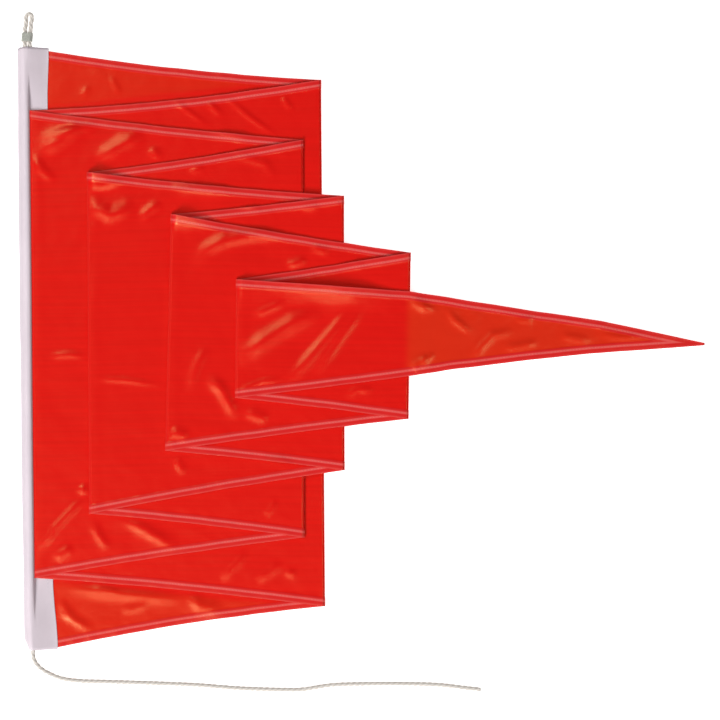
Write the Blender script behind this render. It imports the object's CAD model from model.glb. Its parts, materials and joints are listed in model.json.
import json
import math

import bmesh
import bpy
import numpy as np
from mathutils import Matrix, Vector, noise


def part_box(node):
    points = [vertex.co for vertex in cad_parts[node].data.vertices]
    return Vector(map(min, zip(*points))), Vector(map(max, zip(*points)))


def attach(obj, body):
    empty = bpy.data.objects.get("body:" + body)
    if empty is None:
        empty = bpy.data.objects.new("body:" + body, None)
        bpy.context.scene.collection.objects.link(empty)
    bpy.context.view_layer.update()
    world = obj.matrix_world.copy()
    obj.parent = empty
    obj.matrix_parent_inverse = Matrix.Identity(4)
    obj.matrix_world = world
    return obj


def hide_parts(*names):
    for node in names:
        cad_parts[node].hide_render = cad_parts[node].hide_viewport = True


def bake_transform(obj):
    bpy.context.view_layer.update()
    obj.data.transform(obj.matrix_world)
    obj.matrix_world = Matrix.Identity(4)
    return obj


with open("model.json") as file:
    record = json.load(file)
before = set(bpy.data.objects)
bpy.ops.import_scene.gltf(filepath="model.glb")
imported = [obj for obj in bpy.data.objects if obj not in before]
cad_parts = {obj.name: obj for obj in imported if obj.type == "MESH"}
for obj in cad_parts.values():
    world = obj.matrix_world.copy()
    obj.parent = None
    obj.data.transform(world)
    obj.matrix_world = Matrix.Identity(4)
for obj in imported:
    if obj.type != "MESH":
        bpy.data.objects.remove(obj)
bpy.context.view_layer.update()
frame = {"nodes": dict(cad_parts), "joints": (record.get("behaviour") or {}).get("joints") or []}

print("frame loaded")
mm = 0.001

# The camera stands straight above the pennant.
camera = {
    "lens": 85, "sensor": 36, "aim": (-0.0045, -0.0428), "turn": -0.731, "viewWidth": 0.9043, "level": 6 * mm,
}
cameraData = bpy.data.cameras.new("camera")
cameraData.lens = camera["lens"]
cameraData.sensor_width = camera["sensor"]
cameraObject = bpy.data.objects.new("camera", cameraData)
bpy.context.scene.collection.objects.link(cameraObject)
cameraHeight = camera["viewWidth"] * camera["lens"] / camera["sensor"] + camera["level"]
cameraObject.location = (*camera["aim"], cameraHeight)
cameraObject.rotation_euler = (0, 0, math.radians(camera["turn"]))
bpy.context.scene.camera = cameraObject
bpy.context.scene.view_settings.view_transform = "Standard"
bpy.context.scene.view_settings.look = "None"


def smooth(x):
    x = np.clip(x, 0, 1)
    return x * x * (3 - 2 * x)


# A centripetal curve through the points, cut into equal steps of about spacing.
def curveThrough(points, spacing):
    p = [np.array(q, float) for q in points]
    p = [2 * p[0] - p[1], *p, 2 * p[-1] - p[-2]]
    line = []
    for a, b, c, d in zip(p, p[1:], p[2:], p[3:]):
        d0, d1, d2 = [math.sqrt(np.linalg.norm(v)) for v in (b - a, c - b, d - c)]
        m1 = ((b - a) / d0 - (c - a) / (d0 + d1) + (c - b) / d1) * d1
        m2 = ((c - b) / d1 - (d - b) / (d1 + d2) + (d - c) / d2) * d1
        for t in np.linspace(0, 1, 24, endpoint=False):
            line.append(
                (2 * t**3 - 3 * t**2 + 1) * b + (t**3 - 2 * t**2 + t) * m1
                + (3 * t**2 - 2 * t**3) * c + (t**3 - t**2) * m2
            )
    line.append(p[-2])
    line = np.array(line)
    run = runAlong(line)
    at = np.linspace(0, run[-1], max(2, round(run[-1] / spacing)) + 1)
    return np.stack([np.interp(at, run, line[:, i]) for i in range(3)], axis=1)


def runAlong(line):
    return np.r_[0, np.cumsum(np.linalg.norm(np.diff(line, axis=0), axis=1))]


def runLength(line):
    return float(np.linalg.norm(np.diff(line, axis=0), axis=1).sum())


def meshFrom(bm, name):
    mesh = bpy.data.meshes.new(name)
    bm.to_mesh(mesh)
    bm.free()
    return mesh


def placedObject(name, mesh, material):
    mesh.shade_smooth()
    mesh.materials.append(material)
    made = bpy.data.objects.new(name, mesh)
    bpy.context.scene.collection.objects.link(made)
    return made


# A grid of quads with its corners at places[i, j], and closed into a tube along j where asked.
def gridObject(name, places, uv, material, closed=False, values=None):
    nu, nv = places.shape[0] - 1, places.shape[1] - 1
    bm = bmesh.new()
    bmesh.ops.create_grid(bm, x_segments=nu, y_segments=nv, size=1)
    mesh = meshFrom(bm, name)
    flat = np.zeros(len(mesh.vertices) * 3)
    mesh.vertices.foreach_get("co", flat)
    flat = flat.reshape(-1, 3)
    i = np.rint((flat[:, 0] + 1) / 2 * nu).astype(int)
    j = np.rint((flat[:, 1] + 1) / 2 * nv).astype(int)
    mesh.vertices.foreach_set("co", places[i, j].ravel())
    corner = np.zeros(len(mesh.loops), int)
    mesh.loops.foreach_get("vertex_index", corner)
    layer = mesh.uv_layers.get("UVMap") or mesh.uv_layers.new(name="UVMap")
    layer.data.foreach_set("uv", uv[i[corner], j[corner]].ravel())
    for label, value in (values or {}).items():
        kept = mesh.attributes.new(label, "FLOAT", "POINT")
        kept.data.foreach_set("value", value[i, j].astype(np.float32))
    if closed:
        bm = bmesh.new()
        bm.from_mesh(mesh)
        bmesh.ops.remove_doubles(bm, verts=bm.verts, dist=1e-7)
        ends = [e for e in bm.edges if e.is_boundary]
        bmesh.ops.holes_fill(bm, edges=ends, sides=0)
        bmesh.ops.recalc_face_normals(bm, faces=bm.faces)
        bm.to_mesh(mesh)
        bm.free()
    return placedObject(name, mesh, material)


# Rings round a line. radii is the radius at each ring, and lobes(angle, run) scales it.
def tubePlaces(line, radii, sides, lobes):
    step = np.gradient(line, axis=0)
    step /= np.linalg.norm(step, axis=1)[:, None]
    side = np.cross(step, (0, 0, 1.0))
    side /= np.linalg.norm(side, axis=1)[:, None]
    up = np.cross(side, step)
    run = runAlong(line)
    angle = np.linspace(0, 2 * math.pi, sides + 1)
    angle[-1] = 0
    grow = lobes(angle[None, :], run[:, None])
    around = side[:, None] * np.cos(angle)[None, :, None] + up[:, None] * np.sin(angle)[None, :, None]
    places = line[:, None] + around * (np.asarray(radii)[:, None] * grow)[:, :, None]
    shown = np.linspace(0, 1, sides + 1)[None, :] * np.ones((len(line), 1))
    uv = np.stack([run[:, None] * np.ones_like(shown), shown], axis=2)
    return places, uv


def newMaterial(name, sockets):
    material = bpy.data.materials.new(name)
    material.use_nodes = True
    shader = material.node_tree.nodes["Principled BSDF"]
    for label, value in sockets.items():
        shader.inputs[label].default_value = value
    return material, material.node_tree, shader


def node(tree, kind, **settings):
    made = tree.nodes.new(kind)
    for label, value in settings.items():
        setattr(made, label, value)
    return made


def maths(tree, operation, a, b=None):
    made = node(tree, "ShaderNodeMath", operation=operation)
    for socket, value in zip(made.inputs, (a, b)):
        if isinstance(value, (int, float)):
            socket.default_value = value
        elif value is not None:
            tree.links.new(value, socket)
    return made.outputs[0]


# The piece's own coordinates, in metres, through a mapping of the given scale.
def mappedPoint(tree, scale, source="UV"):
    coordinates = node(tree, "ShaderNodeTexCoord")
    mapping = node(tree, "ShaderNodeMapping")
    mapping.inputs["Scale"].default_value = scale
    tree.links.new(coordinates.outputs[source], mapping.inputs["Vector"])
    return mapping.outputs["Vector"]


def attributeOf(tree, name):
    return node(tree, "ShaderNodeAttribute", attribute_name=name).outputs["Fac"]


def noiseOf(tree, point, detail=2.0, roughness=0.5):
    made = node(tree, "ShaderNodeTexNoise")
    made.inputs["Scale"].default_value = 1.0
    made.inputs["Detail"].default_value = detail
    made.inputs["Roughness"].default_value = roughness
    tree.links.new(point, made.inputs["Vector"])
    return made.outputs["Fac"]


def rangeOf(tree, value, low, high, start=0.0, end=1.0):
    made = node(tree, "ShaderNodeMapRange", interpolation_type="SMOOTHSTEP")
    for label, number in zip(("From Min", "From Max", "To Min", "To Max"), (low, high, start, end)):
        made.inputs[label].default_value = number
    tree.links.new(value, made.inputs["Value"])
    return made.outputs["Result"]


def pick(made, name, kind):
    return [s for s in made if s.name == name and s.type == kind][0]


def mixPaint(tree, factor, a, b):
    made = node(tree, "ShaderNodeMix", data_type="RGBA")
    slots = (
        (pick(made.inputs, "Factor", "VALUE"), factor),
        (pick(made.inputs, "A", "RGBA"), a),
        (pick(made.inputs, "B", "RGBA"), b),
    )
    for socket, value in slots:
        if isinstance(value, (int, float, tuple)):
            socket.default_value = value
        else:
            tree.links.new(value, socket)
    return pick(made.outputs, "Result", "RGBA")


def bumpOf(tree, height, strength, distance, under=None):
    made = node(tree, "ShaderNodeBump")
    made.inputs["Strength"].default_value = strength
    made.inputs["Distance"].default_value = distance
    tree.links.new(height, made.inputs["Height"])
    if under is not None:
        tree.links.new(under, made.inputs["Normal"])
    return made.outputs["Normal"]


def newGroup(name, inputs, outputs):
    group = bpy.data.node_groups.new(name, "ShaderNodeTree")
    for label, kind in inputs.items():
        group.interface.new_socket(name=label, in_out="INPUT", socket_type=kind)
    for label, kind in outputs.items():
        group.interface.new_socket(name=label, in_out="OUTPUT", socket_type=kind)
    return group, group.nodes.new("NodeGroupInput"), group.nodes.new("NodeGroupOutput")


# Two tones in soft spots, for cloth, canvas, rope and thread.
def mottleGroup():
    inputs = {"Point": "NodeSocketVector", "First": "NodeSocketColor", "Second": "NodeSocketColor"}
    outputs = {"Tone": "NodeSocketColor", "Mask": "NodeSocketFloat"}
    group, enter, leave = newGroup("mottle", inputs, outputs)
    spots = noiseOf(group, enter.outputs["Point"], 3.0)
    tone = mixPaint(group, rangeOf(group, spots, 0.3, 0.7), enter.outputs["First"], enter.outputs["Second"])
    group.links.new(tone, leave.inputs["Tone"])
    group.links.new(spots, leave.inputs["Mask"])
    return group


# Two crossed waves, for the threads that run along and across a cloth.
def wovenGroup():
    labels = ("Threads Along", "Threads Across", "Share Along", "Share Across")
    inputs = {"Point": "NodeSocketVector", **{label: "NodeSocketFloat" for label in labels}}
    group, enter, leave = newGroup("woven", inputs, {"Height": "NodeSocketFloat"})
    parts = node(group, "ShaderNodeSeparateXYZ")
    group.links.new(enter.outputs["Point"], parts.inputs[0])
    waves = []
    for axis, threads, share in (("X", labels[0], labels[2]), ("Y", labels[1], labels[3])):
        turn = maths(group, "MULTIPLY", parts.outputs[axis], 2 * math.pi)
        turn = maths(group, "MULTIPLY", turn, enter.outputs[threads])
        waves.append(maths(group, "MULTIPLY", maths(group, "SINE", turn), enter.outputs[share]))
    group.links.new(maths(group, "ADD", *waves), leave.inputs["Height"])
    return group


def placeGroup(tree, group, **values):
    made = node(tree, "ShaderNodeGroup", node_tree=group)
    for label, value in values.items():
        socket = made.inputs[label]
        if isinstance(value, (int, float, tuple)):
            socket.default_value = value
        else:
            tree.links.new(value, socket)
    return made.outputs


mottle = mottleGroup()
woven = wovenGroup()


clothLook = {
    "red": (0.80, 0.0036, 0.0048, 1),
    "deepRed": (0.75, 0.0032, 0.0044, 1),
    "tipRed": (0.745, 0.0225, 0.0060, 1),
    "hem": (0.73, 0.0145, 0.0185, 1),
    "stitchBand": (0.86, 0.116, 0.112, 1),
    "foldLine": (0.86, 0.050, 0.035, 1),
    "streaks": (5, 230, 1),
    "hemWidth": 11 * mm,
    "hemFade": (0.2 * mm, 0.5 * mm),
    "stitchAt": 7 * mm,
    "stitchFade": (0.8 * mm, 2.1 * mm, 0.75, 0.0),
    "edgeFade": (0.8 * mm, 2.6 * mm, 0.3, 0.0),
    "knit": {
        "Threads Along": 1 / (0.8 * mm), "Threads Across": 1 / (0.95 * mm),
        "Share Along": 0.35, "Share Across": 1.0,
    },
    "knitBump": (0.28, 0.06 * mm),
    "bands": (4, 240, 1),
    "bandBump": (0.10, 0.5 * mm),
    "crumple": (38, 60, 1),
    "crumpleBump": (0.22, 1.6 * mm),
}


def clothMaterial():
    look = clothLook
    material, tree, shader = newMaterial("flagCloth", {
        "Roughness": 0.27,
        "Specular IOR Level": 0.5,
        "Specular Tint": (1.0, 0.85, 0.35, 1),
        "Sheen Weight": 0.02,
        "Sheen Roughness": 0.45,
        "Sheen Tint": (1.0, 0.45, 0.35, 1),
    })
    streaks = mappedPoint(tree, look["streaks"])
    paint = placeGroup(tree, mottle, Point=streaks, First=look["red"], Second=look["deepRed"])["Tone"]
    paint = mixPaint(tree, attributeOf(tree, "tipShare"), paint, look["tipRed"])
    edge = attributeOf(tree, "edgeDistance")
    inside, outside = look["hemFade"]
    inHem = rangeOf(tree, edge, look["hemWidth"] - inside, look["hemWidth"] + outside, 1.0, 0.0)
    paint = mixPaint(tree, inHem, paint, look["hem"])
    fromRow = maths(tree, "ABSOLUTE", maths(tree, "SUBTRACT", edge, look["stitchAt"]))
    onRow = rangeOf(tree, fromRow, *look["stitchFade"])
    onEdge = rangeOf(tree, edge, *look["edgeFade"])
    paint = mixPaint(tree, maths(tree, "MAXIMUM", onRow, onEdge), paint, look["stitchBand"])
    paint = mixPaint(tree, attributeOf(tree, "foldShare"), paint, look["foldLine"])
    tree.links.new(paint, shader.inputs["Base Color"])
    knit = placeGroup(tree, woven, Point=mappedPoint(tree, (1, 1, 1)), **look["knit"])["Height"]
    bands = noiseOf(tree, mappedPoint(tree, look["bands"]))
    crumple = noiseOf(tree, mappedPoint(tree, look["crumple"]), 3.0, 0.55)
    normal = bumpOf(tree, crumple, *look["crumpleBump"])
    normal = bumpOf(tree, bands, *look["bandBump"], normal)
    normal = bumpOf(tree, knit, *look["knitBump"], normal)
    tree.links.new(normal, shader.inputs["Normal"])
    return material


canvasLook = {
    "tone": (0.735, 0.640, 0.692, 1),
    "shade": (0.690, 0.600, 0.650, 1),
    "rim": (0.84, 0.76, 0.81, 1),
    "spots": (30, 18, 1),
    "spotBump": (0.25, 1.2 * mm),
    "weave": {
        "Threads Along": 1 / (1.1 * mm), "Threads Across": 1 / (0.9 * mm),
        "Share Along": 0.5, "Share Across": 0.5,
    },
    "weaveBump": (0.4, 0.12 * mm),
}


def canvasMaterial():
    look = canvasLook
    material, tree, shader = newMaterial("headingCanvas", {"Roughness": 0.85, "Specular IOR Level": 0.25})
    threads = placeGroup(tree, woven, Point=mappedPoint(tree, (1, 1, 1)), **look["weave"])["Height"]
    point = mappedPoint(tree, look["spots"])
    spots = placeGroup(tree, mottle, Point=point, First=look["tone"], Second=look["shade"])
    tone = mixPaint(tree, attributeOf(tree, "rimShare"), spots["Tone"], look["rim"])
    tree.links.new(tone, shader.inputs["Base Color"])
    normal = bumpOf(tree, spots["Mask"], *look["spotBump"])
    normal = bumpOf(tree, threads, *look["weaveBump"], normal)
    tree.links.new(normal, shader.inputs["Normal"])
    return material


ropeLook = {
    "tone": (0.79, 0.735, 0.68, 1),
    "shade": (0.71, 0.66, 0.605, 1),
    "groove": (0.55, 0.505, 0.455, 1),
    "fibres": (700, 24, 1),
    "fibreBump": (0.5, 0.25 * mm),
}


def ropeMaterial():
    look = ropeLook
    material, tree, shader = newMaterial("laidRope", {"Roughness": 0.8, "Specular IOR Level": 0.25})
    point = mappedPoint(tree, look["fibres"])
    fibre = placeGroup(tree, mottle, Point=point, First=look["tone"], Second=look["shade"])
    tone = mixPaint(tree, attributeOf(tree, "grooveShare"), fibre["Tone"], look["groove"])
    tree.links.new(tone, shader.inputs["Base Color"])
    tree.links.new(bumpOf(tree, fibre["Mask"], *look["fibreBump"]), shader.inputs["Normal"])
    return material


threadLook = {
    "hem": (0.86, 0.130, 0.112, 1), "heading": (0.72, 0.66, 0.72, 1), "binding": (0.55, 0.56, 0.50, 1),
    "fibres": (900, 900, 900), "darker": 0.78,
}


def threadMaterial(name, colour):
    material, tree, shader = newMaterial(name, {"Roughness": 0.6, "Specular IOR Level": 0.3})
    point = mappedPoint(tree, threadLook["fibres"], "Object")
    darker = tuple(threadLook["darker"] * v for v in colour[:3]) + (1,)
    fibre = placeGroup(tree, mottle, Point=point, First=colour, Second=darker)
    tree.links.new(fibre["Tone"], shader.inputs["Base Color"])
    return material


cloth = clothMaterial()
canvas = canvasMaterial()
ropeFibre = ropeMaterial()
hemThread = threadMaterial("hemThread", threadLook["hem"])
headingThread = threadMaterial("headingThread", threadLook["heading"])
bindingThread = threadMaterial("bindingThread", threadLook["binding"])
print("materials made")

# The rope is laid from three strands. taper is the bare end's size, its growth and the growth's start.
rope = {
    "diameter": 5.6 * mm, "lay": 22 * mm, "sides": 24, "step": 1.5 * mm,
    "strandAt": 0.38, "strandRadius": 0.62, "taper": (0.62, 0.38, 0.15), "groove": (0.86, 0.12),
}
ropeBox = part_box("hoist_rope")
ropeX = (ropeBox[0].x + ropeBox[1].x) / 2
ropeZ = (ropeBox[0].z + ropeBox[1].z) / 2


def strandShape(phase):
    def lobes(angle, run):
        turn = (angle - 2 * math.pi * run / rope["lay"] + phase) % (2 * math.pi / 3) - math.pi / 3
        c, r = rope["strandAt"], rope["strandRadius"]
        return c * np.cos(turn) + np.sqrt(np.maximum(r**2 - (c * np.sin(turn)) ** 2, 0))
    return lobes


def ropeObject(name, line, phase=0.0, taperEnd=0.0):
    radii = np.full(len(line), rope["diameter"] / 2)
    if taperEnd:
        run = runAlong(line)
        size, growth, start = rope["taper"]
        radii *= size + growth * smooth((run[-1] - run) / taperEnd + start)
    lobes = strandShape(phase)
    places, uv = tubePlaces(line, radii, rope["sides"], lobes)
    angle = np.linspace(0, 2 * math.pi, rope["sides"] + 1)
    run = uv[:, :1, 0]
    grow = lobes(angle[None, :], run)
    shallow, depth = rope["groove"]
    groove = smooth((shallow - grow) / depth)
    return gridObject(name, places, uv, ropeFibre, closed=True, values={"grooveShare": groove})


# The tail's points are x, y and lift above its resting height, from the rope's lower end, in millimetres.
tail = {
    "gap": 0.6 * mm, "restingLift": 0.1 * mm, "sink": 20 * mm,
    "route": [
        (0, 0, 0.6), (-0.6, -8, 0.4), (1.6, -16, 0.1), (8, -24, 0), (18, -30.5, 0), (33, -37, 0),
        (56, -41, 0), (90, -42.5, 0), (147, -45, 0), (203, -48, 0), (260, -53, 0), (316, -55.5, 0),
        (336, -55.5, 0), (373, -50.5, 0), (410, -49.5, 0), (467, -50, 0), (511, -52, 0), (542, -56, 0),
        (562, -58.5, 0),
    ],
}
tailStart = np.array([ropeX, ropeBox[0].y - tail["gap"], rope["diameter"] / 2 + tail["restingLift"]])
tailPath = curveThrough([tailStart + np.array(p) * mm for p in tail["route"]], rope["step"])
tailRope = ropeObject("tailRope", tailPath, taperEnd=2 * mm)
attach(tailRope, "hoist")
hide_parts("tail_line")

eyeJoint = [j for j in frame["joints"] if j["name"] == "eye_lift"][0]
eyeAcross = Vector(eyeJoint["axis"])
eyeAlong = Vector((-eyeAcross.y, eyeAcross.x, 0))
eyeAt = Vector(eyeJoint["pos_m"])


def eyePlace(x, y, z):
    return np.array(eyeAt + eyeAcross * (x * mm) + eyeAlong * (y * mm) + Vector((0, 0, z * mm)))


# leg is the bight's right leg and bend its crown, as across, along and height from the eye's hinge,
# in millimetres. tucked and running are across the channel and down from its mouth.
eye = {
    "leg": [
        (3.05, 0.3, 0), (3.05, 11, 0), (3.7, 17.52, -0.4),
        (3.05, 22.04, -0.8), (3.7, 27.77, -0.8), (3.7, 31.5, -0.8),
    ],
    "bend": [(2.62, 34.12, -0.8), (0, 35.2, -0.8), (-2.62, 34.12, -0.8)],
    "tucked": [(6.3 * mm, 9 * mm), (6.2 * mm, 4 * mm)], "running": [(0, 6 * mm), (0, 19 * mm)],
    "step": 1.1 * mm, "phase": 0.6, "blendBefore": 3 * mm, "blendAfter": 1 * mm,
}
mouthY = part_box("heading_sleeve")[1].y


def inChannel(across, down):
    return np.array([ropeX + across, mouthY - down, ropeZ])


rightLeg = [eyePlace(*p) for p in eye["leg"]]
leftLeg = [eyePlace(-x, y, z) for x, y, z in reversed(eye["leg"])]
crown = [eyePlace(*p) for p in eye["bend"]]
tucked = [inChannel(*p) for p in eye["tucked"]]
running = [inChannel(*p) for p in eye["running"]]
eyePath = curveThrough([*tucked, *rightLeg, *crown, *leftLeg, *running], eye["step"])
eyeRope = ropeObject("eyeRope", eyePath, phase=eye["phase"])
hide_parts("rope_eye")
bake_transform(eyeRope)

# The seizing's first turn and the run of its turns are in millimetres from the eye's hinge.
seizing = {
    "first": 0.9, "run": 9.6, "turns": 10, "thread": 0.52 * mm, "looseness": 0.25 * mm, "legAt": 3.05 * mm,
    "squareness": 2.2, "slope": 0.45 * mm, "waver": 0.12 * mm, "steps": 40, "sides": 8,
}


# One turn of thread round the two legs of the eye, a closed ring with a slight slope.
def seizingRing(turn):
    reach = rope["diameter"] / 2 + seizing["looseness"] + seizing["thread"]
    at = (seizing["first"] + turn * seizing["run"] / (seizing["turns"] - 1)) * mm
    ring = []
    for step in range(seizing["steps"]):
        a = 2 * math.pi * step / seizing["steps"]
        leg = math.copysign(seizing["legAt"], math.cos(a)) * min(1, abs(math.cos(a)) * seizing["squareness"])
        x = reach * math.cos(a) + leg
        y = at + seizing["slope"] * math.cos(a) + seizing["waver"] * math.sin(3 * turn)
        ring.append(eyeAt + eyeAcross * x + eyeAlong * y + Vector((0, 0, reach * math.sin(a))))
    return ring


def threadRound(bm, ring):
    radius, sides, made = seizing["thread"], seizing["sides"], []
    for step, centre in enumerate(ring):
        ahead = (ring[(step + 1) % len(ring)] - ring[step - 1]).normalized()
        out = eyeAlong.cross(ahead).normalized()
        loop = bmesh.ops.create_circle(bm, segments=sides, radius=radius)["verts"]
        for k, v in enumerate(loop):
            a = 2 * math.pi * k / sides
            v.co = centre + out * (radius * math.cos(a)) + eyeAlong * (radius * math.sin(a))
        made.append(loop)
    for step, here in enumerate(made):
        following = made[(step + 1) % len(made)]
        pair = (here, following)
        edges = [e for loop in pair for v in loop for e in v.link_edges if e.other_vert(v) in loop]
        bmesh.ops.bridge_loops(bm, edges=list(set(edges)))


def seizingObject():
    bm = bmesh.new()
    for turn in range(seizing["turns"]):
        threadRound(bm, seizingRing(turn))
    bmesh.ops.recalc_face_normals(bm, faces=bm.faces)
    return placedObject("eyeSeizing", meshFrom(bm, "eyeSeizing"), bindingThread)


eyeSeizing = seizingObject()
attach(eyeSeizing, "eye")
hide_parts("eye_seizing")

# The rope inside the heading leans away from the second fold in its lower half.
channel = {"lean": -1.1 * mm, "top": 0.12, "topReach": 0.28, "foot": -0.395, "footReach": 0.05}


def channelLean(y):
    below = smooth((channel["top"] - y) / channel["topReach"])
    return channel["lean"] * below * smooth((y - channel["foot"]) / channel["footReach"])


hoistY = np.arange(running[-1][1], tailStart[1], -rope["step"])
hoistY = np.r_[hoistY, tailStart[1]]
sink = smooth((tailStart[1] + tail["sink"] - hoistY) / tail["sink"])
hoistPath = np.stack([
    ropeX + channelLean(hoistY), hoistY, ropeZ + (tailPath[0][2] - ropeZ) * sink,
], axis=1)
hoistRope = ropeObject("hoistRope", hoistPath, phase=2 * math.pi * runLength(hoistPath) / rope["lay"])
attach(hoistRope, "hoist")
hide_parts("hoist_rope")
print("rope, eye and tail made")

# Where each layer of the folded cloth lies is taken from the frame.
stack = {"first": 0.6 * mm, "pitch": 1.6 * mm, "bendRadius": 0.8 * mm}
foldAt, foldAlong = {}, {}
for joint in frame["joints"]:
    if joint["name"].startswith("fold_"):
        k = int(joint["name"].split("_")[1])
        foldAt[k] = np.array(joint["pos_m"][:2])
        along = np.array(joint["axis"][:2])
        foldAlong[k] = along / np.linalg.norm(along) * math.copysign(1, along[1])
lastLayer = max(foldAt)
seamBox = (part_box("hem_upper_0"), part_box("hem_lower_0"))
seamTop = np.array([seamBox[0][0].x, seamBox[0][1].y])
seamFoot = np.array([seamBox[1][0].x, seamBox[1][0].y])
tipVertex = max((v.co for v in frame["nodes"]["tip_point"].data.vertices), key=lambda p: p.x)
tipFlat = np.array(tipVertex[:2])


def mirrored(p, k):
    d = p - foldAt[k]
    return foldAt[k] + 2 * foldAlong[k] * (d @ foldAlong[k]) - d


def meet(a, b, k):
    s, _ = np.linalg.solve(np.stack([b - a, -foldAlong[k]], axis=1), foldAt[k] - a)
    return a + s * (b - a)


aimAt = {lastLayer: tipFlat}
for k in range(lastLayer, 0, -1):
    aimAt[k - 1] = mirrored(aimAt[k], k)
upper, lower = {0: seamTop}, {0: seamFoot}
for k in range(lastLayer):
    upper[k + 1] = meet(upper[k], aimAt[k], k + 1)
    lower[k + 1] = meet(lower[k], aimAt[k], k + 1)

# How far the real corners sit from a straight-sided pennant's, along each fold, and how far each edge
# sags towards the middle between two folds, all in millimetres.
slack = {
    "upper": [-5.5, -2.8, 6.0, 7.0, -2.4, 1.4, 1.6, 0.4, -5.0],
    "lower": [-1.4, 3.2, -6.6, -4.3, -11.2, -4.9, -13.0, -2.8, -3.4],
    "upperSag": [4.6, 6.0, 2.5, 2.5, 2.5, 1.5, 1.5, 1.0, 0],
    "lowerSag": [4.6, 3.0, 2.5, 2.0, 2.0, 1.5, 1.5, 1.0, 0],
    "footIn": ((0, 0.2, 0.38, 0.45, 0.6, 0.75, 0.88, 1), (0, 1.2, 3.2, 5.3, 6.2, 6.0, 2.6, 0)),
    "topOut": ((0, 0.13, 0.37, 0.566, 0.779, 0.9, 1), (0, 5.2, 14.2, 11.6, 10.0, 4.6, 0)),
    "seam": (-4.2, -5.2),
}
upper[0] = upper[0] + np.array([slack["seam"][0] * mm, 0])
lower[0] = lower[0] + np.array([slack["seam"][1] * mm, 0])
foldAlong[0] = (upper[0] - lower[0]) / np.linalg.norm(upper[0] - lower[0])
for k in range(lastLayer + 1):
    upper[k] = upper[k] + foldAlong[k] * slack["upper"][k] * mm
    lower[k] = lower[k] + foldAlong[k] * slack["lower"][k] * mm
tipHalf = 1.5 * mm
flyLine = tipFlat - (upper[lastLayer] + lower[lastLayer]) / 2
flyLine /= np.linalg.norm(flyLine)
flyAcross = np.array([-flyLine[1], flyLine[0]])
upper[lastLayer + 1] = tipFlat + flyAcross * tipHalf
lower[lastLayer + 1] = tipFlat - flyAcross * tipHalf


# The seam between the canvas and the cloth swings out near both ends of the hoist.
seamFlare = {"head": 2.0 * mm, "headReach": 60 * mm, "foot": 5.0 * mm, "footReach": 85 * mm}


def flareAt(y):
    head = seamFlare["head"] * smooth((y - upper[0][1] + seamFlare["headReach"]) / seamFlare["headReach"])
    foot = seamFlare["foot"] * smooth((lower[0][1] + seamFlare["footReach"] - y) / seamFlare["footReach"])
    return head + foot


def outline(k):
    return [lower[k], lower[k + 1], upper[k + 1], upper[k]]


# Distance outside a convex outline, below zero inside it.
def outsideBy(points, corners):
    middle = sum(corners) / len(corners)
    far = np.full(len(points), -1e9)
    for a, b in zip(corners, corners[1:] + corners[:1]):
        side = b - a
        length = np.linalg.norm(side)
        if length < 1e-6:
            continue
        out = np.array([side[1], -side[0]]) / length
        if out @ (middle - a) > 0:
            out = -out
        far = np.maximum(far, (points - a) @ out)
    return far


# Unit direction away from layer k across its end fold ("end") or its start fold ("start").
def endWay(k, which):
    fold = k + 1 if which == "end" else k
    out = np.array([foldAlong[fold][1], -foldAlong[fold][0]])
    middle = sum(outline(k)) / 4
    edge = (upper[fold] + lower[fold]) / 2
    return (out if out @ (edge - middle) > 0 else -out), edge


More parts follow.
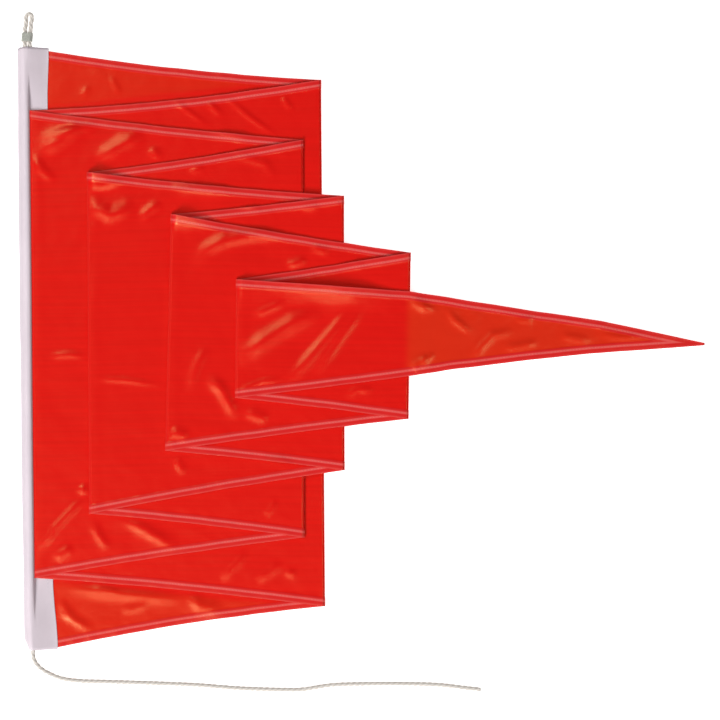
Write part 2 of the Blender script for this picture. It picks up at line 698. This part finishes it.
# Creases, as (half width, height, points) in millimetres, for each layer.
creases = {
    0: [
        (3.4, 1, [(-349, 292), (-342, 307)]),
        (3.4, 1, [(-314, 319), (-302, 294)]),
        (4.6, 1.7, [(-389, -352), (-345, -380)]),
        (4.6, 1.4, [(-389, -339), (-367, -365)]),
        (8, 2.5, [(-379, -321), (-335, -330), (-272, -337), (-228, -341)]),
        (4.6, 1.4, [(-347, -321), (-310, -330)]),
        (8, 2.5, [(-226, -335), (-209, -350), (-182, -355)]),
        (5.8, 1.5, [(-310, -355), (-272, -347)]),
    ],
    1: [
        (3.2, 1.36, [(-170, 291), (-139, 264), (-105, 240)]),
        (3.2, 1.12, [(-236, 287), (-193, 255)]),
        (4, 1.44, [(-193, 284), (-174, 267)]),
        (3.4, 1.33, [(-98, 290), (-86, 272)]),
        (4.6, 1.45, [(-184, -319), (-161, -295), (-149, -280)]),
        (5.6, 1.45, [(-140, -320), (-121, -308), (-106, -295)]),
        (5, 1.32, [(-102, -308), (-87, -312)]),
    ],
    2: [
        (5.8, 1.9, [(-405, 242), (-365, 251), (-327, 257)]),
        (10, 3.1, [(-403, 224), (-378, 238), (-350, 254)]),
        (9, 2.9, [(-334, 213), (-302, 231), (-271, 247)]),
        (5.8, 1.9, [(-413, 220), (-401, 201), (-385, 186)]),
        (5.8, 1.5, [(-265, 228), (-252, 212)]),
        (6.9, 1.9, [(-189, 248), (-133, 239)]),
        (5, 2.0, [(-413, -283), (-390, -249), (-369, -227), (-350, -208)]),
        (5, 1.9, [(-358, -195), (-350, -208)]),
        (4.6, 1.6, [(-344, -242), (-334, -262), (-322, -277)]),
        (6.9, 2.2, [(-308, -236), (-277, -253), (-252, -268), (-234, -275)]),
        (5.8, 1.8, [(-391, -289), (-379, -279), (-369, -273)]),
        (3.7, 1.4, [(-394, -33), (-372, -31), (-349, -33)]),
    ],
    3: [
        (5.2, 1.45, [(-171, 208), (-146, 213), (-121, 206), (-106, 185)]),
        (5, 1.32, [(-215, 196), (-196, 201)]),
        (4, 1.26, [(-126, -238), (-117, -227), (-111, -217)]),
    ],
    4: [
        (4.6, 1.6, [(-345, 179), (-322, 180), (-297, 185)]),
        (9, 2.8, [(-338, 166), (-331, 152), (-316, 143), (-298, 149), (-285, 162)]),
        (5.8, 1.9, [(-279, 137), (-266, 149), (-251, 159)]),
        (8, 2.1, [(-247, 174), (-203, 176), (-156, 170)]),
        (3, 1.2, [(-338, -62), (-300, -64), (-254, -71)]),
        (4.6, 1.4, [(-238, -162), (-226, -184)]),
    ],
    5: [
        (5.6, 1.45, [(-159, 156), (-125, 150)]),
        (5.6, 1.45, [(-129, -171), (-107, -167), (-88, -176)]),
        (5, 1.38, [(-77, 147), (-52, 151)]),
    ],
    6: [
        (9, 3.3, [(-210, 77), (-195, 98), (-172, 110), (-128, 117), (-84, 115)]),
        (8, 3, [(-16, 73), (7, 63), (27, 56)]),
        (5.8, 1.9, [(-95, 75), (-69, 85)]),
        (5.8, 1.7, [(-65, 101), (-40, 92)]),
        (6.9, 2.7, [(-197, -58), (-178, -78), (-168, -97), (-162, -116)]),
        (6.9, 1.7, [(-219, -80), (-208, -46), (-195, -22)]),
        (6.9, 2.1, [(-244, -128), (-219, -137)]),
        (6.9, 1.9, [(-150, -106), (-118, -117)]),
    ],
    7: [
        (5.3, 1.45, [(-24, -89), (-7, -78), (14, -81)]),
        (5.4, 1.45, [(-66, -117), (-43, -105)]),
        (5, 1.38, [(-156, -107), (-129, -114)]),
    ],
    8: [
        (11, 3.9, [(-159, -46), (-123, -16), (-86, 6), (-51, 18)]),
        (7.5, 2.8, [(-99, -73), (-74, -47), (-42, -11), (-7, 30)]),
        (6, 2.1, [(-61, -61), (-36, -26), (-16, 1), (3, 26)]),
        (3.4, 1.3, [(-158, -79), (-128, -68), (-99, -65)]),
        (5.8, 1.6, [(-139, 15), (-117, 23), (-95, 32)]),
        (6.9, 2.1, [(59, 34), (84, 16)]),
        (6.9, 2.1, [(58, -55), (83, -41)]),
        (4.6, 1.4, [(68, 25), (90, 18)]),
        (4.6, 1.7, [(103, 22), (115, 6), (137, -13)]),
        (4.6, 1.4, [(71, -46), (90, -36)]),
        (5.8, 2, [(134, -45), (148, -28), (162, -14), (191, -8)]),
        (5.8, 1.8, [(171, -32), (197, -28), (222, -23)]),
        (4.6, 1.4, [(191, 5), (216, 5)]),
        (4.6, 1.3, [(297, -15), (325, -19), (354, -18)]),
        (5.8, 1.5, [(247, -15), (285, -24)]),
    ],
}


# Raised stretches of the upper edge, as (height, reach inwards, share of the height at the first point,
# place of the highest point along the run, points), lengths in millimetres.
lifts = {
    4: [(6.2, 13, 1, 0.08, [(-345, 199), (-318, 195), (-285, 191)])],
    6: [(6.2, 14, 1, 0.08, [(-238, 145), (-205, 140), (-163, 134)])],
    8: [(7.6, 24, 0.32, 0.62, [(-159, 60), (-80, 58), (-20, 53), (50, 44)])],
}


creaseEnds = {"reach": 0.4, "start": 0.12}


# A soft ridge along a broken line, fading out at both of its ends.
def creaseHeight(points, width, height, route, first=None, peak=0.5):
    best = np.full(len(points), 1e9)
    along = np.zeros(len(points))
    route = [np.array(p) * mm for p in route]
    lengths = [np.linalg.norm(b - a) for a, b in zip(route, route[1:])]
    total, gone = sum(lengths), 0.0
    for a, b, length in zip(route, route[1:], lengths):
        t = np.clip(((points - a) @ (b - a)) / length**2, 0, 1)
        d = np.linalg.norm(points - (a + t[:, None] * (b - a)), axis=1)
        near = d < best
        best = np.where(near, d, best)
        along = np.where(near, gone + t * length, along)
        gone += length
    share = along / total
    if first is None:
        fade = smooth(np.minimum(share, 1 - share) / creaseEnds["reach"] + creaseEnds["start"])
    else:
        rising = first + (1 - first) * smooth(share / peak)
        fade = np.where(share < peak, rising, smooth((1 - share) / (1 - peak)))
    return height * mm * np.exp(-((best / (width * mm)) ** 2)) * fade


def noiseAt(points, size, seed):
    return np.array([noise.noise((x / size, y / size, seed)) for x, y in points])


def lineGap(points, a, b):
    side = (b - a) / np.linalg.norm(b - a)
    return np.abs((points - a) @ np.array([side[1], -side[0]]))


# The surface of each layer: waves as height and size, and the places where it is pressed or held.
surface = {
    "broad": (0.45 * mm, 0.045), "oddShare": 0.5, "fine": (0.20 * mm, 0.016),
    "crumple": 0.42 * mm, "crumpleSizes": (0.013, 0.007), "smallShare": 0.6, "crumpleReach": 20 * mm,
    "coverOverlap": 1 * mm, "coverReach": 9 * mm, "pressed": 0.18, "free": 0.82,
    "foldRidge": (0.2 * mm, 9 * mm, 6 * mm), "startReach": 7 * mm, "liftReach": 6 * mm,
    "oddLift": {"width": 9, "rise": 1.4, "from": 0.06, "to": 0.45, "reach": 9 * mm},
    "endReach": 12 * mm, "endSlope": 0.15, "endRise": 0.02 * mm,
    "oddLowest": -0.5 * mm, "oddHighest": 1.5 * mm, "evenLowest": -0.35 * mm,
}


# How far a layer's points are left uncovered by the layers above it, from 0 to 1.
def shownShare(k, points):
    over = np.full(len(points), 1.0)
    for j in range(k + 1, lastLayer + 1):
        over = np.minimum(over, outsideBy(points, outline(j)))
    return smooth((over + surface["coverOverlap"]) / surface["coverReach"])


def wavesOf(k, points):
    height = np.zeros(len(points))
    for width, rise, route in creases[k]:
        height += creaseHeight(points, width, rise, route)
    rise, size = surface["broad"]
    height += rise * noiseAt(points, size, 3.1 * k + 1) * (1 if k % 2 == 0 else surface["oddShare"])
    rise, size = surface["fine"]
    height += rise * noiseAt(points, size, 5.3 * k + 2)
    near = np.minimum(lineGap(points, lower[k], lower[k + 1]), lineGap(points, upper[k], upper[k + 1]))
    large, small = surface["crumpleSizes"]
    crumple = noiseAt(points, large, 7.7 * k + 3)
    crumple += surface["smallShare"] * noiseAt(points, small, 2.9 * k + 5)
    return height + surface["crumple"] * crumple * np.exp(-near / surface["crumpleReach"])


# Height of the cloth's mid surface over its layer's own level.
def layerHeight(k, points):
    shown = shownShare(k, points)
    height = wavesOf(k, points) * (surface["pressed"] + surface["free"] * shown)
    if k > 0:
        out, edge = endWay(k, "start")
        inside = (edge - points) @ out
        if k % 2 == 0:
            rise, at, reach = surface["foldRidge"]
            height += rise * np.exp(-(((inside - at) / reach) ** 2)) * shown
        height *= smooth(inside / surface["startReach"])
        for rise, reach, first, peak, route in lifts.get(k, []):
            lift = creaseHeight(points, reach, rise, route, first, peak)
            height += lift * smooth(inside / surface["liftReach"])
        if k % 2 == 1:
            odd = surface["oddLift"]
            route = [(upper[k] + (upper[k + 1] - upper[k]) * t) / mm for t in (odd["from"], odd["to"])]
            lift = creaseHeight(points, odd["width"], odd["rise"], route, 1, 0.5)
            height += lift * smooth(inside / odd["reach"])
    if k < lastLayer:
        out, edge = endWay(k, "end")
        inside = (edge - points) @ out
        height *= smooth(inside / surface["endReach"])
        height = np.minimum(height, surface["endSlope"] * np.maximum(inside, 0) + surface["endRise"])
    if k % 2 == 1:
        return np.clip(height, surface["oddLowest"], surface["oddHighest"])
    return np.maximum(height, surface["evenLowest"])


bendJoint = [j for j in frame["joints"] if j["name"] == "tip_bend"][0]
bendAxis = np.array(bendJoint["axis"][:2]) * math.copysign(1, bendJoint["axis"][1])
bendOut = np.array([bendAxis[1], -bendAxis[0]])
bendAt = np.array(bendJoint["pos_m"][:2])
bendReach = 25 * mm
tipSlope = math.tan(math.radians(bendJoint["range_deg"][1]))


def tipDrop(points):
    s = (points - bendAt) @ bendOut
    return s * smooth((s + bendReach) / (2 * bendReach)) * tipSlope


def layerLevel(k):
    return stack["first"] + k * stack["pitch"]


def surfacePlaces(k, points):
    z = layerLevel(k) + layerHeight(k, points)
    if k == lastLayer:
        z = z - tipDrop(points)
    return np.column_stack([points, z])


# Each layer is one piece of cloth, with the bend that joins it to the next.
weave = {
    "cell": 2.8 * mm, "field": 0.34 * mm, "hem": 0.95 * mm, "bendSteps": 8, "bandsWidth": 14.5 * mm,
    "edgeRows": [0, 0.5, 1.6, 3.4, 5.2, 6.4, 7.6, 9.0, 10.4, 11.2, 13.0], "innerMargin": 26 * mm,
    "tuck": 8 * mm, "tuckSteps": 3, "tuckRise": (0.12 * mm, 0.06 * mm),
    "hemEdge": 11.2 * mm, "hemFade": 0.8 * mm,
    "uvShift": 0.9, "tipFade": (20 * mm, 13 * mm, 0.9), "aloneFade": (7 * mm, 0.5), "foldShare": 0.22,
    "hemLevels": 8, "waver": (0.5 * mm, 0.03), "bendLean": 0.25 * mm, "bendRise": 1.56 * mm,
}


# Distances from the lower edge, finely set in the hem bands at both edges.
def crossRows(halfWidth, count):
    shrink = np.minimum(1, halfWidth / weave["bandsWidth"])
    rows = [d * mm * shrink for d in weave["edgeRows"]]
    inner = [rows[-1] + (2 * halfWidth - 2 * rows[-1]) * t for t in np.linspace(0, 1, count + 1)[1:-1]]
    return rows + inner + [2 * halfWidth - r for r in reversed(rows)]


# Flat place at a along the layer (0 at its start, 1 at its end) and share across it from the lower edge.
def layerPoint(k, a, share):
    foot = lower[k] + (lower[k + 1] - lower[k]) * a[:, None]
    head = upper[k] + (upper[k + 1] - upper[k]) * a[:, None]
    bow = 4 * np.clip(a, 0, 1) * (1 - np.clip(a, 0, 1))
    foot[:, 1] += slack["lowerSag"][k] * mm * bow
    head[:, 1] -= slack["upperSag"][k] * mm * bow
    if k == lastLayer:
        head[:, 1] += np.interp(a, *slack["topOut"]) * mm
        foot[:, 1] += np.interp(a, *slack["footIn"]) * mm
    rise, size = weave["waver"]
    waver = noiseAt(np.column_stack([foot[:, 0], foot[:, 0] * 0 + k]), size, 9.7)
    foot[:, 1] += rise * waver * bow
    waver = noiseAt(np.column_stack([head[:, 0], head[:, 0] * 0 - k]), size, 4.2)
    head[:, 1] += rise * waver * bow
    flat = foot + (head - foot) * share[:, None]
    if k == 0:
        flat[:, 0] += flareAt(flat[:, 1]) * (1 - np.clip(a, 0, 1))
    return flat


# A piece of layer k moves with the bodies on both sides of its end fold, or of the tip's bend.
def followBend(piece, k):
    if k < lastLayer:
        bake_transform(piece)
    else:
        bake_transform(piece)


def layerGrid(k, tuckSteps):
    length = np.linalg.norm((upper[k + 1] + lower[k + 1]) / 2 - (upper[k] + lower[k]) / 2)
    steps = max(2, round(length / weave["cell"]))
    a = np.linspace(0, 1, steps + 1)
    a = np.r_[[-weave["tuck"] / length * t / tuckSteps for t in range(tuckSteps, 0, -1)], a]
    ends = layerPoint(k, a, np.zeros(len(a))), layerPoint(k, a, np.ones(len(a)))
    halfWidth = np.linalg.norm(ends[1] - ends[0], axis=1) / 2
    count = max(2, round((2 * halfWidth.max() - weave["innerMargin"]) / weave["cell"]))
    rows = np.array(crossRows(halfWidth, count)).T
    share = rows / (2 * halfWidth[:, None])
    points = ends[0][:, None] + (ends[1] - ends[0])[:, None] * share[:, :, None]
    if k == 0:
        fading = 1 - np.clip(a, 0, 1)[:, None]
        rim = flareAt(ends[0][:, 1])[:, None] * (1 - share) + flareAt(ends[1][:, 1])[:, None] * share
        points[:, :, 0] += (flareAt(points[:, :, 1]) - rim) * fading
    return points, rows, halfWidth, length


# Adds the half turn that carries layer k's end up to the next layer's level.
def withBend(k, places, uv, edge, thick):
    out, _ = endWay(k, "end")
    more = weave["bendSteps"]
    arcs = []
    for step in range(1, more + 1):
        turn = math.pi * step / more
        ring = places[-1].copy()
        ring[:, :2] += out * stack["bendRadius"] * math.sin(turn)
        ring[:, 2] = layerLevel(k) + stack["bendRadius"] * (1 - math.cos(turn))
        arcs.append(ring)
    extra = np.repeat(uv[-1:], more, axis=0)
    extra[:, :, 0] += (np.arange(1, more + 1) * stack["bendRadius"] * math.pi / more)[:, None]
    edge, thick = [np.concatenate([v, np.repeat(v[-1:], more, axis=0)]) for v in (edge, thick)]
    return np.concatenate([places, arcs]), np.concatenate([uv, extra]), edge, thick


# Shares of the paler red, where the cloth lies single, and of the worn line at left folds.
def paintShares(k, points, shape):
    pale, fold = np.zeros(shape), np.zeros(shape)
    nu, nv = points.shape[:2]
    if k == lastLayer:
        before, reach, most = weave["tipFade"]
        pale = smooth(((points - bendAt) @ bendOut + before) / reach) * most
    if k == 0:
        reach, most = weave["aloneFade"]
        alone = outsideBy(points.reshape(-1, 2), outline(1)).reshape(nu, nv)
        pale[:nu] = smooth(alone / reach) * most
    if k % 2 == 1 and k < lastLayer:
        fold[nu:] = weave["foldShare"]
    if k % 2 == 0 and k > 0:
        fold[0] = weave["foldShare"]
    return pale, fold


# The cloth is thicker in its hems. The attribute thick gives the hem's share, and is spent here.
def giveThickness(made):
    weights = np.zeros(len(made.data.vertices), np.float32)
    made.data.attributes["thick"].data.foreach_get("value", weights)
    made.data.attributes.remove(made.data.attributes["thick"])
    group = made.vertex_groups.new(name="hemShare")
    levels = np.round(weights * weave["hemLevels"]).astype(int)
    for level in range(1, weave["hemLevels"] + 1):
        chosen = np.nonzero(levels == level)[0]
        if len(chosen):
            group.add(chosen.tolist(), level / weave["hemLevels"], "REPLACE")
    solid = made.modifiers.new("thickness", "SOLIDIFY")
    solid.thickness = weave["hem"]
    solid.offset = 0
    solid.vertex_group = "hemShare"
    solid.thickness_vertex_group = weave["field"] / weave["hem"]


def clothPiece(k):
    tuckSteps = weave["tuckSteps"] if k == 0 else 0
    points, rows, halfWidth, length = layerGrid(k, tuckSteps)
    edge = np.minimum(rows, 2 * halfWidth[:, None] - rows)
    places = surfacePlaces(k, points.reshape(-1, 2)).reshape(*rows.shape, 3)
    thick = smooth((weave["hemEdge"] - edge) / weave["hemFade"])
    if k == 0:
        tucked, seam = weave["tuckRise"]
        places[:tuckSteps, :, 2] = layerLevel(0) + tucked
        places[tuckSteps, :, 2] = layerLevel(0) + seam
        thick[:tuckSteps + 1] = 0
        thick[tuckSteps + 1] *= 0.5
    middle = (upper[k] + lower[k]) / 2
    fly = aimAt[k] - middle
    fly /= np.linalg.norm(fly)
    across = np.array([-fly[1], fly[0]])
    uv = np.stack([(points - middle) @ fly + weave["uvShift"] * k, (points - middle) @ across], axis=2)
    if k < lastLayer:
        places, uv, edge, thick = withBend(k, places, uv, edge, thick)
    pale, fold = paintShares(k, points, edge.shape)
    made = gridObject(
        f"pennantCloth{k}", places, uv, cloth,
        values={"edgeDistance": edge, "tipShare": pale, "foldShare": fold, "thick": thick},
    )
    giveThickness(made)
    followBend(made, k)
    if k < lastLayer:
        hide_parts(f"cloth_{k}", f"hem_upper_{k}", f"hem_lower_{k}")
    else:
        gone = [f"{part}_{label}" for part in ("cloth", "hem_upper", "hem_lower") for label in (k, "tip")]
        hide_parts(*gone, "tip_point")
    return made, length, 2 * halfWidth


# Small rounded beads. seats are (place, heading angle) pairs, and size is a bead's length, width and height.
def stitchObject(name, seats, size, material):
    bm = bmesh.new()
    for place, angle in seats:
        matrix = Matrix.Translation(place) @ Matrix.Rotation(angle, 4, "Z") @ Matrix.Diagonal((*size, 1))
        bmesh.ops.create_cube(bm, size=1, matrix=matrix)
    bmesh.ops.bevel(
        bm, geom=list(bm.edges), offset=0.2 * min(size), affect="EDGES", segments=1, profile=0.5, material=-1,
    )
    return placedObject(name, meshFrom(bm, name), material)


hemStitch = {
    "pitch": 4.0 * mm, "size": (3.0 * mm, 1.0 * mm, 1.2 * mm), "at": 7 * mm, "margin": 3.4 * mm,
    "leastWidth": 19 * mm, "steps": 400,
}


def hemStitches(k):
    seats = []
    a = np.linspace(0, 1, hemStitch["steps"] + 1)
    for side in (0, 1):
        near, far = layerPoint(k, a, np.full(len(a), side)), layerPoint(k, a, np.full(len(a), 1 - side))
        width = np.linalg.norm(far - near, axis=1)
        line = near + (far - near) / width[:, None] * hemStitch["at"]
        run = runAlong(line)
        for at in np.arange(hemStitch["margin"], run[-1] - hemStitch["margin"], hemStitch["pitch"]):
            if np.interp(at, run, width) < hemStitch["leastWidth"]:
                break
            p = np.array([np.interp(at, run, line[:, i]) for i in range(2)])
            q = np.array([np.interp(at + mm, run, line[:, i]) for i in range(2)])
            seats.append((p, math.atan2(*(q - p)[::-1])))
    places = surfacePlaces(k, np.array([p for p, _ in seats]))
    seats = [(Vector(p), angle) for p, (_, angle) in zip(places, seats)]
    made = stitchObject(f"hemStitches{k}", seats, hemStitch["size"], hemThread)
    followBend(made, k)
    return made


for k in range(lastLayer + 1):
    piece, length, widths = clothPiece(k)
    stitches = hemStitches(k)

# The heading is canvas folded round the cloth's edge, with a channel for the rope. leftAt and leftOut
# tell how far its left fold swings out along the hoist, in metres and millimetres.
heading = {
    "thickness": 0.5 * mm, "under": 0.28 * mm, "over": 1.2 * mm, "rows": 230, "around": 3.3 * mm,
    "footBelow": 2.7 * mm, "headBelow": 2.8 * mm, "chamfer": (3.9 * mm, 13 * mm),
    "mouthDepth": 25 * mm, "mouthReach": 14 * mm, "mouthShift": 3.1 * mm, "mouthWiden": 3.6 * mm,
    "mouthRise": 1.0 * mm, "puckerDepth": 11.5 * mm, "puckerReach": 9 * mm, "pucker": 0.35 * mm,
    "foldGap": 2 * mm, "clearAbove": 50 * mm, "clearBelow": 60 * mm, "sideFoot": 1.2 * mm, "runOut": 1.5 * mm,
    "seamGap": 0.2 * mm, "leftFlat": 1.3 * mm, "waver": 0.35 * mm, "smallWaver": 0.2 * mm, "sag": 0.16 * mm,
    "seamRim": (1.6 * mm, 1.2 * mm), "leftRim": (3.2 * mm, 1.6 * mm, 0.45), "flatWidth": 80 * mm,
    "leftAt": (-0.42, -0.37, -0.31, -0.25, -0.2, -0.045, 0.02, 0.15, 0.25, 0.315, 0.37),
    "leftOut": (2.0, 2.2, 1.8, 2.6, 2.8, 2.2, 2.8, 2.3, 1.8, 1.1, 0.9),
}
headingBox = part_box("heading_sleeve")
headingLeft, headingFoot, headingHead = headingBox[0].x, headingBox[0].y, headingBox[1].y


def seamX(y):
    share = (y - lower[0][1]) / (upper[0][1] - lower[0][1])
    return float(lower[0][0] + (upper[0][0] - lower[0][0]) * share + flareAt(y))


# The lower half of the canvas's section: under the cloth, round the left fold, and on to the channel.
def lowerSection(right):
    under, over = heading["under"], heading["over"]
    section = [(right * t, under, 0) for t in (1, 0.87, 0.74, 0.6, 0.46, 0.32, 0.2, 0.1, 0.03)]
    section += [(0.30 * mm, under + 0.10 * mm, 0), (0.12 * mm, (under + over) / 2, 0)]
    section += [(0.35 * mm, over - 0.08 * mm, 0), (heading["leftFlat"], over, 0)]
    return section


# The canvas's section at y: x from the heading's left edge, z, and how much it belongs to the mouth.
def headingSection(y):
    mouth = smooth((y - headingHead + heading["mouthDepth"]) / heading["mouthReach"])
    centre = ropeX - headingLeft + channelLean(np.array(y)) + heading["mouthShift"] * mouth
    r = heading["around"]
    rx = r + heading["mouthWiden"] * mouth
    over, flat = heading["over"], heading["leftFlat"]
    right = seamX(y) - headingLeft - heading["seamGap"]
    section = lowerSection(right)
    start = math.radians(160)
    first = (centre + rx * math.cos(start), ropeZ + r * math.sin(start))
    for t in (0.3, 0.65):
        section.append((flat + (first[0] - flat) * t, over + (first[1] - over) * (t * t * 0.5 + t * 0.5), 1))
    for degrees in (160, 142, 124, 106, 90):
        a = math.radians(degrees)
        section.append((centre + rx * math.cos(a), ropeZ + r * math.sin(a), 1))
    # Right of the rope the canvas drops at once where a fold lies beside it, and runs out evenly elsewhere.
    above = smooth((y - upper[2][1] - heading["foldGap"]) / heading["clearAbove"])
    below = smooth((lower[2][1] - heading["foldGap"] - y) / heading["clearBelow"])
    clear = max(above, below)
    crown, side = ropeZ + r - over, rx + heading["sideFoot"]
    reach = right - centre - heading["runOut"]
    near = [side * t for t in (0.16, 0.32, 0.47, 0.6, 0.71, 0.8, 0.88, 0.95, 1)]
    shares = (0.04, 0.1, 0.18, 0.28, 0.4, 0.52, 0.64, 0.76, 0.87, 0.95, 1)
    far = [side + (right - centre - side) * t for t in shares]
    for d in near + far:
        t = min(d / reach, 1)
        even = crown * (1 - 0.6 * t - 0.4 * float(smooth(t)))
        if d < rx:
            steep = crown - r + r * math.sqrt(1 - (d / rx) ** 2)
        else:
            steep = (crown - r) * float(smooth((side - d) / (side - rx)))
        part = 0.8 * max(0, 1 - d / (3 * side))
        section.append((centre + d, over + clear * even + (1 - clear) * steep, part))
    return np.array(section)


def headingRow(y):
    x, z, part = headingSection(y).T
    near = smooth((y - headingHead + heading["puckerDepth"]) / heading["puckerReach"])
    lift = heading["mouthRise"] * near * part
    pucker = np.sin(np.arange(len(x)) * 2.1) * heading["pucker"] * near * part
    cut, height = heading["chamfer"]
    reach = ropeX - headingLeft
    upperFace = z > heading["under"] + 0.5 * mm
    x = x + cut * smooth((headingFoot + height - y) / height) * np.clip(1 - x / reach, 0, 1)
    waver = heading["waver"] * noise.noise((y / 0.06, 2.2, 0))
    waver += heading["smallWaver"] * noise.noise((y / 0.02, 5.2, 0))
    x = x + (waver - np.interp(y, heading["leftAt"], heading["leftOut"]) * mm) * np.clip(1 - x / reach, 0, 1)
    sag = np.array([noise.noise((px / 0.02, y / 0.03, 1.7)) for px in x])
    z = z + np.where(upperFace, heading["sag"] * sag, 0)
    run = np.r_[0, np.cumsum(np.hypot(np.diff(x), np.diff(z)))]
    row = np.stack([headingLeft + x + pucker, y + lift + pucker, z + pucker], axis=1)
    return row, np.stack([run, np.full(len(run), y)], axis=1)


def headingCanvas():
    foot, head = headingFoot - heading["footBelow"], headingHead - heading["headBelow"]
    ys = np.linspace(foot, head, heading["rows"] + 1)
    rows = [headingRow(y) for y in ys]
    places, uv = np.array([row for row, _ in rows]), np.array([run for _, run in rows])
    width, fade = heading["seamRim"]
    rim = smooth((width - (places[:, -1:, 0] - places[:, :, 0])) / fade)
    width, fade, most = heading["leftRim"]
    fromLeft = places[:, :, 0] - places[:, :, 0].min(axis=1, keepdims=True)
    rim = np.maximum(rim, most * smooth((width - fromLeft) / fade))
    made = gridObject("headingCanvas", places, uv, canvas, values={"rimShare": rim})
    solid = made.modifiers.new("thickness", "SOLIDIFY")
    solid.thickness = heading["thickness"]
    solid.offset = 0
    return made


canvasPiece = headingCanvas()
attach(canvasPiece, "hoist")
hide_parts("heading_sleeve")

headingStitch = {
    "size": (2.8 * mm, 0.6 * mm, 1.7 * mm), "rows": (-2.6 * mm, -6.8 * mm),
    "pitch": 4.2 * mm, "margin": 4 * mm, "drift": 0.25 * mm,
}


def headingStitches():
    level = (heading["under"] + heading["over"]) / 2
    margin = headingStitch["margin"]
    seats = []
    for inset in headingStitch["rows"]:
        for y in np.arange(headingFoot + margin, headingHead - margin, headingStitch["pitch"]):
            drift = headingStitch["drift"] * noise.noise((y / 0.03, inset * 300, 0))
            seats.append((Vector((seamX(y) + inset + drift, y, level)), math.pi / 2))
    return stitchObject("headingStitches", seats, headingStitch["size"], headingThread)


seamStitches = headingStitches()
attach(seamStitches, "hoist")
print("heading made")

# Lights are (azimuth, elevation, size, power), in degrees, metres and watts.
stage = {
    "floorLevel": -1.2 * mm, "floorSize": 40, "lightDistance": 9, "lightAim": (-0.05, 0, 0), "sky": 0.10,
    "lights": {
        "keyLight": (234, 33, 3.0, 531),
        "leftSoft": (135, 50, 2.6, 195),
        "lowerLeftSoft": (226, 53, 2.4, 107),
        "lowerSoft": (266, 53, 2.4, 107),
        "rightSoft": (-24, 54, 2.6, 125),
    },
}


def floorObject():
    paint, _, _ = newMaterial("floorPaint", {
        "Base Color": (0.93, 0.93, 0.93, 1), "Roughness": 0.9, "Specular IOR Level": 0.1,
        "Emission Color": (1, 1, 1, 1), "Emission Strength": 0.8,
    })
    bm = bmesh.new()
    bmesh.ops.create_grid(bm, x_segments=1, y_segments=1, size=stage["floorSize"])
    bmesh.ops.translate(bm, vec=(0, 0, stage["floorLevel"]), verts=bm.verts)
    return placedObject("floor", meshFrom(bm, "floor"), paint)


def areaLight(name, azimuth, elevation, size, power):
    data = bpy.data.lights.new(name, "AREA")
    data.shape = "DISK"
    data.size = size
    data.energy = power
    lamp = bpy.data.objects.new(name, data)
    bpy.context.scene.collection.objects.link(lamp)
    a, e = math.radians(azimuth), math.radians(elevation)
    away = Vector((math.cos(a) * math.cos(e), math.sin(a) * math.cos(e), math.sin(e)))
    lamp.location = Vector(stage["lightAim"]) + away * stage["lightDistance"]
    lamp.rotation_mode = "QUATERNION"
    lamp.rotation_quaternion = away.to_track_quat("Z", "Y")


floorObject()
for name, light in stage["lights"].items():
    areaLight(name, *light)
world = bpy.data.worlds.new("world")
bpy.context.scene.world = world
world.use_nodes = True
background = world.node_tree.nodes["Background"]
background.inputs["Color"].default_value = (1, 1, 1, 1)
background.inputs["Strength"].default_value = stage["sky"]
print("stage made")
